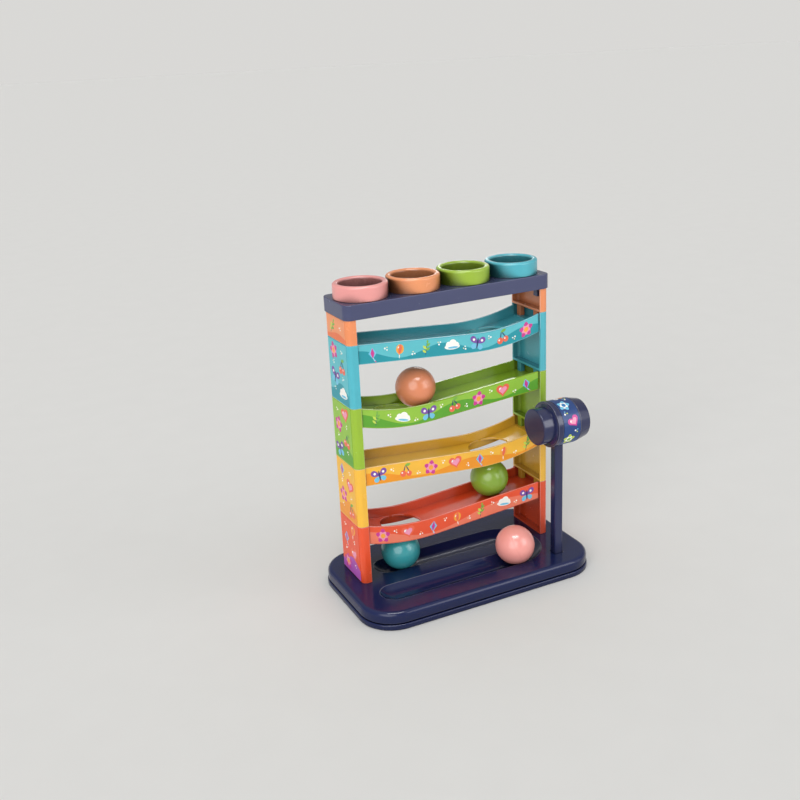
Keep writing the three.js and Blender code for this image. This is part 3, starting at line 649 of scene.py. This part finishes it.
# Each motif is made of shapes: outline, place across and up, half sizes, turn in degrees and number of
# the ink. The sizes are shares of the motif's own.
MOTIFS = {
    "flower": ((petals, 0, 0, 1, 1, 18, 0), (petals, 0, 0, 0.68, 0.68, 54, 1),
               (disc, 0, 0, 0.32, 0.32, 0, 2)),
    "heart": ((heart, 0, 0, 0.95, 0.9, 0, 0), (heart, 0, 0.02, 0.6, 0.56, 0, 1),
              (disc, -0.42, 0.36, 0.1, 0.17, -35, 2)),
    "sprig": ((leaf, 0, 0, 1.1, 0.07, 70, 2), (leaf, 0.4, 0.5, 0.42, 0.2, 25, 0),
              (leaf, -0.2, 0.25, 0.42, 0.2, 125, 1), (leaf, 0.25, -0.1, 0.4, 0.19, 20, 0),
              (leaf, -0.4, -0.3, 0.38, 0.18, 130, 1), (leaf, 0.4, 1.0, 0.3, 0.15, 72, 0)),
    "balloon": ((leaf, 0.08, -0.95, 0.45, 0.08, 100, 2), (disc, 0, 0.25, 0.7, 0.82, 0, 0),
                (diamond, 0, -0.6, 0.16, 0.16, 0, 0), (disc, 0.02, 0.25, 0.3, 0.82, 0, 1),
                (disc, -0.34, 0.5, 0.1, 0.2, -22, 2)),
    "kite": ((leaf, 0.25, -1.0, 0.5, 0.07, 120, 2), (diamond, 0, 0.15, 0.72, 0.95, 0, 0),
             (diamond, 0, 0.15, 0.36, 0.9, 0, 1), (diamond, 0.22, -0.95, 0.2, 0.14, 30, 0),
             (diamond, 0.42, -1.25, 0.17, 0.12, 10, 1)),
    "butterfly": ((drop, 0.5, 0.36, -0.62, 0.5, 35, 0), (drop, -0.5, 0.36, -0.62, 0.5, 145, 0),
                  (drop, 0.38, -0.36, -0.46, 0.42, -40, 1), (drop, -0.38, -0.36, -0.46, 0.42, -140, 1),
                  (disc, 0.58, 0.42, 0.17, 0.17, 0, 2), (disc, -0.58, 0.42, 0.17, 0.17, 0, 2),
                  (disc, 0, 0, 0.11, 0.68, 0, 3)),
    "cloud": ((disc, 0, -0.2, 1.05, 0.34, 0, 0), (disc, -0.45, 0.05, 0.42, 0.42, 0, 0),
              (disc, 0.12, 0.2, 0.52, 0.52, 0, 0), (disc, 0.6, -0.02, 0.36, 0.36, 0, 0),
              (disc, 0.1, -0.3, 0.7, 0.14, 0, 1)),
    "cherries": ((leaf, -0.14, 0.28, 0.6, 0.07, 72, 2), (leaf, 0.32, 0.28, 0.62, 0.07, 118, 2),
                 (disc, -0.36, -0.38, 0.44, 0.44, 0, 0), (disc, 0.5, -0.42, 0.4, 0.4, 0, 0),
                 (leaf, 0.36, 0.82, 0.42, 0.2, 10, 1), (disc, -0.5, -0.24, 0.11, 0.13, 0, 3),
                 (disc, 0.38, -0.28, 0.1, 0.12, 0, 3)),
    "dots": ((disc, -0.4, 0.1, 0.3, 0.3, 0, 0), (disc, 0.35, 0.4, 0.2, 0.2, 0, 1),
             (disc, 0.3, -0.45, 0.24, 0.24, 0, 2)),
}
# Each layer of ink stands above the last by this share of the ink's height.
LAYER_GROWTH = 0.12


class Print:
    """The inks of one label, laid over it layer by layer as thin closed solids."""

    def __init__(self, place, rings, sink):
        """Takes the function that lays a point on the label, the rings of faces in a shape, and how far
        a shape's foot lies in the label."""
        self.place = place
        self.rings = rings
        self.sink = sink
        self.mesh = bmesh.new()
        self.inks = []
        self.layer = 0
        self.step = bpy.context.scene.tower_sizes.ink_height

    def index(self, ink_name):
        """The number of an ink on this label."""
        if ink_name not in self.inks:
            self.inks.append(ink_name)
        return self.inks.index(ink_name)

    def fill(self, rows, closed, ink_name):
        """A solid between rows of (across, up) points. Its top is a layer above the last, and its foot is
        in the label."""
        number = self.index(ink_name)
        self.layer += 1
        height = self.step * (1 + LAYER_GROWTH * self.layer)
        skins = []
        for level in (height, -self.sink):
            skins.append([[self.mesh.verts.new(self.place(u, v, level)) for u, v in row] for row in rows])
        top, foot = skins
        faces = []
        for skin in skins:
            for low, high in zip(skin, skin[1:]):
                count = max(len(low), len(high))
                for i in range(count if closed else count - 1):
                    j = (i + 1) % count
                    corners = [low[i % len(low)], low[j % len(low)], high[j], high[i]]
                    faces.append(list(dict.fromkeys(corners)))
        count = len(rows[-1])
        for i in range(count if closed else count - 1):
            j = (i + 1) % count
            faces.append([top[-1][i], top[-1][j], foot[-1][j], foot[-1][i]])
            if not closed:
                faces.append([top[0][i], top[0][j], foot[0][j], foot[0][i]])
        if not closed:
            for k in range(len(rows) - 1):
                for end in (0, -1):
                    faces.append([top[k][end], top[k + 1][end], foot[k + 1][end], foot[k][end]])
        for corners in faces:
            self.mesh.faces.new(corners).material_index = number

    def shape(self, outline, centre, half, turn, ink_name):
        """One outline, turned and placed."""
        cos, sin = math.cos(turn), math.sin(turn)
        points = []
        for i in range(OUTLINE_POINTS):
            a, b = outline(2 * math.pi * i / OUTLINE_POINTS)
            a, b = a * half[0], b * half[1]
            points.append((a * cos - b * sin, a * sin + b * cos))
        rows = [[centre]]
        for ring in range(1, self.rings + 1):
            share = ring / self.rings
            rows.append([(centre[0] + share * a, centre[1] + share * b) for a, b in points])
        self.fill(rows, True, ink_name)

    def motif(self, name, centre, size, turn, inks):
        """All shapes of a motif, about its centre."""
        cos, sin = math.cos(turn), math.sin(turn)
        for outline, across, up, half_across, half_up, own_turn, number in MOTIFS[name]:
            across, up = across * size, up * size
            middle = (centre[0] + across * cos - up * sin, centre[1] + across * sin + up * cos)
            half = (half_across * size, half_up * size)
            self.shape(outline, middle, half, turn + math.radians(own_turn), inks[number % len(inks)])

    def band(self, start, end, foot, edge, ink_name):
        """A band along the label, from its foot up to an edge. The edge is a function of the share of the
        label's length."""
        rows = [[], []]
        for i in range(BAND_COLUMNS + 1):
            share = i / BAND_COLUMNS
            across = start + (end - start) * share
            rows[0].append((across, foot))
            rows[1].append((across, edge(share)))
        self.fill(rows, False, ink_name)

    def piece(self, name, body, slot):
        """The finished print, on its body."""
        bmesh.ops.recalc_face_normals(self.mesh, faces=self.mesh.faces)
        made = finish_mesh(self.mesh, name, [ink(i) for i in self.inks])
        return fit(made, body, slot)


def ramp_edges(node):
    """The front face of a trough's label: its y, and its lower and upper edge as (x, low z, high z)."""
    points = [v.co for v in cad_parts[node].data.vertices]
    front = min(p.y for p in points)
    columns = {}
    for p in points:
        if p.y < front + WELD:
            columns.setdefault(round(p.x, 5), []).append(p.z)
    return front, sorted((x, min(z), max(z)) for x, z in columns.items())


def between(columns, x):
    """Lower and upper edge of a trough's label at x."""
    for (x0, low0, high0), (x1, low1, high1) in zip(columns, columns[1:]):
        if x <= x1:
            share = max(0.0, (x - x0) / (x1 - x0))
            return low0 + (low1 - low0) * share, high0 + (high1 - high0) * share
    return columns[-1][1:]


MOTIF_ORDER = ("flower", "balloon", "butterfly", "heart", "sprig", "cherries", "kite", "cloud")
MOTIF_INKS = {
    "flower": ("magenta", "rose", "apricot"), "balloon": ("apricot", "coral", "white"),
    "butterfly": ("violet", "sky", "white", "midnight"), "heart": ("coral", "rose", "white"),
    "sprig": ("leaf", "lime", "midnight"), "cherries": ("coral", "leaf", "midnight", "white"),
    "kite": ("sky", "magenta", "white"), "cloud": ("white", "sky"),
    "dots": ("white", "cream", "white"),
}
MOTIF_SCALE = {"kite": 0.74, "balloon": 0.72, "sprig": 0.82, "cherries": 0.94}
# The next motif on a label is this many further in the order.
MOTIF_STRIDE = 3
DOT_SIZE = 2.6 * MM
LABEL_SINK = 0.05 * MM

# Trough labels: motifs sit above and below the middle in turn, with dots between them. Each label
# starts further in the order, tilts are in degrees, and steps from motif to motif in radians.
RAMP_MARKS = 7
RAMP_MARK_SIZE = 6.9 * MM
RAMP_LIFT = 0.4 * MM
RAMP_DOT_LIFT = -8
RAMP_END_ROOM = 6 * MM
RAMP_TILT, RAMP_TILT_STEP = 12, 2.1
RAMP_DOT_STEP = 0.8
RAMP_SHIFT = 2
# The wavy ground of a label: its height and its swing as shares of the label, and its waves.
RAMP_HILL = (0.42, 0.3, 1.3)
MORE_WAVES = 0.3
WAVE_PHASE = 3

# Post labels: motifs sit left and right of the middle in turn, with dots beside them.
POST_MARKS = 4
POST_MARK_SIZE = 7.6 * MM
POST_END_ROOM = 2.3 * POST_MARK_SIZE
POST_SWAY = 0.2
POST_DOT_SWAY = -1.2
POST_DOT_LIFT = 1.5 * MM
POST_TILT, POST_TILT_STEP = 16, 1.7
POST_DOT_STEP = 1.1
POST_SHIFT, RIGHT_SHIFT = 5, 2
POST_HILL = (0.24, 0.08, 0.9)
# A label shorter than this has one motif.
SHORT_POST = 30 * MM

# Hammer label: motifs go round the barrel in steps of an angle in degrees, with dots halfway.
HAMMER_MARK_SIZE = 5.9 * MM
HAMMER_MOTIFS = ("flower", "heart", "flower", "butterfly", "flower", "heart")
HAMMER_INKS = (("lime", "white", "leaf"), ("magenta", "rose", "white"), ("sky", "white", "blue"),
               ("white", "apricot", "magenta"))
HAMMER_START, HAMMER_STEP = -32, 48
HAMMER_TURN_STEP, HAMMER_DOT_STEP = 0.5, 0.9
HAMMER_SWAY = 1.9 * MM
HAMMER_DOT_SIZE = 2.8 * MM
HAMMER_DOT_SWAY = -2.2
HAMMER_DOT_INKS = ("white", "sky", "lime")
# Round the barrel a shape needs more rings of faces and a deeper foot to follow the curve.
HAMMER_RINGS = 6
HAMMER_SINK = 0.12 * MM


def wave(share, height, swing, turns):
    """Height of a wavy line at a share of a label's length."""
    return height + swing * math.sin(2 * math.pi * (turns * share + height * WAVE_PHASE))


def dress_label(node, colour):
    """Gives a CAD label the film in its ground colour."""
    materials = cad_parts[node].data.materials
    materials.clear()
    materials.append(film(colour))


class TOWER_OT_trough_labels(bpy.types.Operator):
    """Prints the labels on the front of the troughs"""
    bl_idname = "tower.trough_labels"
    bl_label = "Trough labels"

    def execute(self, context):
        for storey, colour in enumerate(RAMPS):
            node = f"ramp_label_{colour}"
            dress_label(node, colour)
            front, columns = ramp_edges(node)
            start, end = columns[0][0], columns[-1][0]
            rise = columns[0][2] - columns[0][1]

            def place(u, v, level):
                """A point on the sloping label, at a level over its face."""
                low, high = between(columns, u)
                return Vector((u, front - level, (low + high) / 2 + v))

            def hill(share):
                """The upper edge of the wavy ground."""
                height, swing, turns = RAMP_HILL
                return rise * (wave(share, height, swing, turns + MORE_WAVES * storey) - 0.5)

            art = Print(place, 1, LABEL_SINK)
            art.band(start, end, -rise / 2, hill, f"deep_{colour}")
            for i in range(RAMP_MARKS):
                x = start + (end - start) * (i + 0.5) / RAMP_MARKS
                name = MOTIF_ORDER[(i * MOTIF_STRIDE + storey * RAMP_SHIFT) % len(MOTIF_ORDER)]
                size = RAMP_MARK_SIZE * MOTIF_SCALE.get(name, 1)
                lift = RAMP_LIFT if i % 2 else -RAMP_LIFT
                turn = math.radians(RAMP_TILT * math.sin(RAMP_TILT_STEP * i + storey))
                art.motif(name, (x, lift), size, turn, MOTIF_INKS[name])
                gap = x + (end - start) * 0.5 / RAMP_MARKS
                if gap < end - RAMP_END_ROOM:
                    beside = (gap, RAMP_DOT_LIFT * lift)
                    art.motif("dots", beside, DOT_SIZE, RAMP_DOT_STEP * i, MOTIF_INKS["dots"])
            art.piece(f"trough_print_{colour}", "tower", f"label_{colour}")
        return {"FINISHED"}


class TOWER_OT_post_labels(bpy.types.Operator):
    """Prints the labels on the outer sides of the posts"""
    bl_idname = "tower.post_labels"
    bl_label = "Post labels"

    def execute(self, context):
        for side in SIDES:
            outward = -1 if side == "left" else 1
            for storey, colour in enumerate(STOREYS):
                node = f"post_label_{side}_{colour}"
                dress_label(node, colour)
                low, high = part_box(node)
                face = low.x if side == "left" else high.x
                middle = (low + high) / 2
                wide, tall = high.y - low.y, high.z - low.z

                def place(u, v, level):
                    """A point on the upright label, at a level over its face."""
                    return Vector((face + outward * level, middle.y + outward * u, middle.z + v))

                def hill(share):
                    """The upper edge of the wavy ground."""
                    return tall * (wave(share, *POST_HILL) - 0.5)

                art = Print(place, 1, LABEL_SINK)
                ground = "orchid" if colour == "red" else f"deep_{colour}"
                art.band(-wide / 2, wide / 2, -tall / 2, hill, ground)
                count = 1 if tall < SHORT_POST else POST_MARKS
                first = storey * POST_SHIFT + (RIGHT_SHIFT if side == "right" else 0)
                for i in range(count):
                    name = MOTIF_ORDER[(i * MOTIF_STRIDE + first) % len(MOTIF_ORDER)]
                    v = (tall - POST_END_ROOM) * (i / (count - 1) - 0.5) if count > 1 else 0
                    u = wide * (POST_SWAY if (i + storey) % 2 else -POST_SWAY)
                    turn = math.radians(POST_TILT * math.sin(POST_TILT_STEP * i + storey))
                    size = POST_MARK_SIZE * MOTIF_SCALE.get(name, 1)
                    art.motif(name, (u, v), size, turn, MOTIF_INKS[name])
                    beside = (POST_DOT_SWAY * u, v + POST_DOT_LIFT)
                    art.motif("dots", beside, DOT_SIZE, POST_DOT_STEP * i, MOTIF_INKS["dots"])
                art.piece(f"post_print_{side}_{colour}", "tower", f"label_{colour}")
        return {"FINISHED"}


class TOWER_OT_hammer_label(bpy.types.Operator):
    """Prints the label round the hammer's barrel"""
    bl_idname = "tower.hammer_label"
    bl_label = "Hammer label"

    def execute(self, context):
        dress_label("hammer_label", "navy")
        low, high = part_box("hammer_label")
        radius = (high.y - low.y) / 2
        axis = Vector(((low.x + high.x) / 2, (low.y + high.y) / 2, high.z - radius))

        def place(u, v, level):
            """A point on the rolled label, at a level over its face."""
            turn = v / radius
            reach = radius + level
            return axis + Vector((u, -reach * math.cos(turn), reach * math.sin(turn)))

        art = Print(place, HAMMER_RINGS, HAMMER_SINK)
        for i, name in enumerate(HAMMER_MOTIFS):
            turn = math.radians(HAMMER_START + HAMMER_STEP * i)
            halfway = turn + math.radians(HAMMER_STEP / 2)
            u = HAMMER_SWAY if i % 2 else -HAMMER_SWAY
            inks = HAMMER_INKS[i % len(HAMMER_INKS)] + ("white",)
            art.motif(name, (u, turn * radius), HAMMER_MARK_SIZE, HAMMER_TURN_STEP * i, inks)
            beside = (HAMMER_DOT_SWAY * u, halfway * radius)
            art.motif("dots", beside, HAMMER_DOT_SIZE, HAMMER_DOT_STEP * i, HAMMER_DOT_INKS)
        art.piece("hammer_print", "hammer", "label_navy")
        return {"FINISHED"}


# The camera, fitted to where the tower's corners fall in the picture.
AIM = Vector((-30.5, 40.78, 159.26)) * MM
DISTANCE = 882 * MM
AZIMUTH = math.radians(-25.31)
ELEVATION = math.radians(19.35)
ROLL = math.radians(-2.81)
LENS = 45.086
CLIP_END = 100
FLOOR_REACH = 30.0
FLOOR_GAP = 0.05 * MM
LIGHT_TARGET = Vector((0, 0, 0.13))
# Broad lights: name, strength, width in degrees, place that they shine from.
SUNS = (
    ("key_light", 1.8, 50, (-0.62, -0.7, 0.58)),
    ("fill_light", 0.35, 40, (1.25, -0.9, 0.6)),
)
# Softboxes: name, width and height in metres, power in watts, place.
SOFTBOXES = (
    ("back_strip", 0.16, 0.02, 0.1, (0.25, 0.43, 0.37)),
    ("overhead_box", 0.5, 0.26, 5.0, (-0.1, -0.28, 0.9)),
    ("right_box", 0.5, 0.6, 3.4, (0.5, -0.78, 0.5)),
)
# The room's brightness falls and rises again between these heights of a direction, from 0 to 1.
WALLS = {"From Min": 0.08, "From Max": 0.22, "To Min": 0.296, "To Max": 0.0}
CEILING = {"From Min": 0.4, "From Max": 0.95, "To Min": 0.4, "To Max": 0.78}
ROOM_COLOUR = (1, 0.99, 0.965, 1)


def aimed(place):
    """The place of a light that faces the tower."""
    facing = (LIGHT_TARGET - place).to_track_quat("-Z", "Y").to_matrix().to_4x4()
    return Matrix.Translation(place) @ facing


class TOWER_OT_stage(bpy.types.Operator):
    """Makes the floor, the lights, the sky and the camera"""
    bl_idname = "tower.stage"
    bl_label = "Stage"

    def execute(self, context):
        scene = context.scene
        scene.view_settings.view_transform = "Standard"
        self.floor(scene)
        self.lights(scene)
        self.sky(scene)
        self.camera(scene)
        return {"FINISHED"}

    def floor(self, scene):
        """A matt painted floor. A roller leaves a faint unevenness of about 40 mm in its tone."""
        material, tree = new_material("Paint matt rolled pale")
        colour = tuple(scene.tower_colours.floor)
        place = add_node(tree, "ShaderNodeTexCoord").outputs["Object"]
        cloud = add_node(tree, "ShaderNodeTexNoise", {"Scale": 1 / ROLLER_CLOUD, "Detail": 2.0},
                         {"Vector": place})
        dark, light = [shaded(colour, factor) for factor in FLOOR_SHADES]
        base = add_node(tree, "ShaderNodeMix", {"data_type": "RGBA", 6: dark, 7: light},
                        {0: cloud.outputs["Fac"]})
        shader = add_node(tree, "ShaderNodeBsdfPrincipled",
                          {"Roughness": FLOOR_ROUGHNESS, "Specular IOR Level": FLOOR_SHINE},
                          {"Base Color": base.outputs[2]})
        add_node(tree, "ShaderNodeOutputMaterial", None, {"Surface": shader.outputs[0]})
        mesh = bmesh.new()
        bmesh.ops.create_grid(mesh, x_segments=2, y_segments=2, size=FLOOR_REACH)
        data = bpy.data.meshes.new("studio_floor")
        mesh.to_mesh(data)
        mesh.free()
        data.materials.append(material)
        ground = bpy.data.objects.new("studio_floor", data)
        ground.location.z = CAD_BOX[0].z - FLOOR_GAP
        scene.collection.objects.link(ground)

    def lights(self, scene):
        """A broad key from the front left, a weak fill from the right, and softboxes that only reflect."""
        lights = []
        for name, strength, width, place in SUNS:
            sun = bpy.data.lights.new(name, "SUN")
            sun.energy = strength
            sun.angle = math.radians(width)
            lights.append((sun, place))
        for name, wide, tall, power, place in SOFTBOXES:
            box = bpy.data.lights.new(name, "AREA")
            box.shape = "RECTANGLE"
            box.size = wide
            box.size_y = tall
            box.energy = power
            lights.append((box, place))
        for data, place in lights:
            lamp = bpy.data.objects.new(data.name, data)
            lamp.matrix_world = aimed(Vector(place))
            lamp.visible_camera = False
            # Softboxes show in reflections alone.
            lamp.visible_diffuse = data.type == "SUN"
            scene.collection.objects.link(lamp)

    def sky(self, scene):
        """A soft grey room: as pale as the far floor along the horizon, dim above it, brighter overhead."""
        world = bpy.data.worlds.new("studio_room")
        scene.world = world
        world.use_nodes = True
        tree = world.node_tree
        tree.nodes.clear()
        direction = add_node(tree, "ShaderNodeTexCoord").outputs["Generated"]
        height = add_node(tree, "ShaderNodeSeparateXYZ", None, {0: direction})
        walls = add_node(tree, "ShaderNodeMapRange", WALLS, {"Value": height.outputs["Z"]})
        ceiling = add_node(tree, "ShaderNodeMapRange", CEILING, {"Value": height.outputs["Z"]})
        level = add_node(tree, "ShaderNodeMath", {"operation": "ADD"},
                         {0: walls.outputs[0], 1: ceiling.outputs[0]})
        back = add_node(tree, "ShaderNodeBackground", {"Color": ROOM_COLOUR}, {"Strength": level.outputs[0]})
        add_node(tree, "ShaderNodeOutputWorld", None, {"Surface": back.outputs[0]})

    def camera(self, scene):
        """A camera at the viewing angle, with the picture's slight roll."""
        out = Vector((math.sin(AZIMUTH) * math.cos(ELEVATION), -math.cos(AZIMUTH) * math.cos(ELEVATION),
                      math.sin(ELEVATION)))
        right = Vector((0, 0, 1)).cross(out).normalized()
        up = out.cross(right)
        across = right * math.cos(ROLL) + up * math.sin(ROLL)
        above = up * math.cos(ROLL) - right * math.sin(ROLL)
        data = bpy.data.cameras.new("studio_camera")
        data.lens = LENS
        data.clip_end = CLIP_END
        eye = bpy.data.objects.new("studio_camera", data)
        turn = Matrix((across, above, out)).transposed().to_4x4()
        eye.matrix_world = Matrix.Translation(AIM + out * DISTANCE) @ turn
        scene.collection.objects.link(eye)
        scene.camera = eye


OPERATORS = (
    TOWER_OT_base, TOWER_OT_posts, TOWER_OT_troughs, TOWER_OT_top, TOWER_OT_balls, TOWER_OT_hammer,
    TOWER_OT_trough_labels, TOWER_OT_post_labels, TOWER_OT_hammer_label, TOWER_OT_stage)


class TOWER_PT_panel(bpy.types.Panel):
    """Offers the tower's sizes, colours and pieces in the sidebar"""
    bl_idname = "TOWER_PT_panel"
    bl_label = "Pound-a-ball tower"
    bl_space_type = "VIEW_3D"
    bl_region_type = "UI"
    bl_category = "Tower"

    def draw(self, context):
        """Lists the settings, then a button for each operator."""
        for group in (context.scene.tower_sizes, context.scene.tower_colours):
            for name in group.__annotations__:
                self.layout.prop(group, name)
        for operator in OPERATORS:
            self.layout.operator(operator.bl_idname)


CLASSES = (TowerSizes, TowerColours) + OPERATORS + (TOWER_PT_panel,)


def register():
    """Adds the add-on's classes and its settings."""
    for cls in CLASSES:
        bpy.utils.register_class(cls)
    bpy.types.Scene.tower_sizes = bpy.props.PointerProperty(type=TowerSizes)
    bpy.types.Scene.tower_colours = bpy.props.PointerProperty(type=TowerColours)


def unregister():
    """Takes the add-on's settings and its classes out again."""
    del bpy.types.Scene.tower_colours
    del bpy.types.Scene.tower_sizes
    for cls in reversed(CLASSES):
        bpy.utils.unregister_class(cls)


def main():
    """Dresses the tower piece by piece."""
    register()
    bpy.ops.tower.base()
    bpy.ops.tower.posts()
    bpy.ops.tower.troughs()
    bpy.ops.tower.top()
    bpy.ops.tower.balls()
    bpy.ops.tower.hammer()
    bpy.ops.tower.trough_labels()
    bpy.ops.tower.post_labels()
    bpy.ops.tower.hammer_label()
    bpy.ops.tower.stage()


if __name__ == "__main__":
    main()
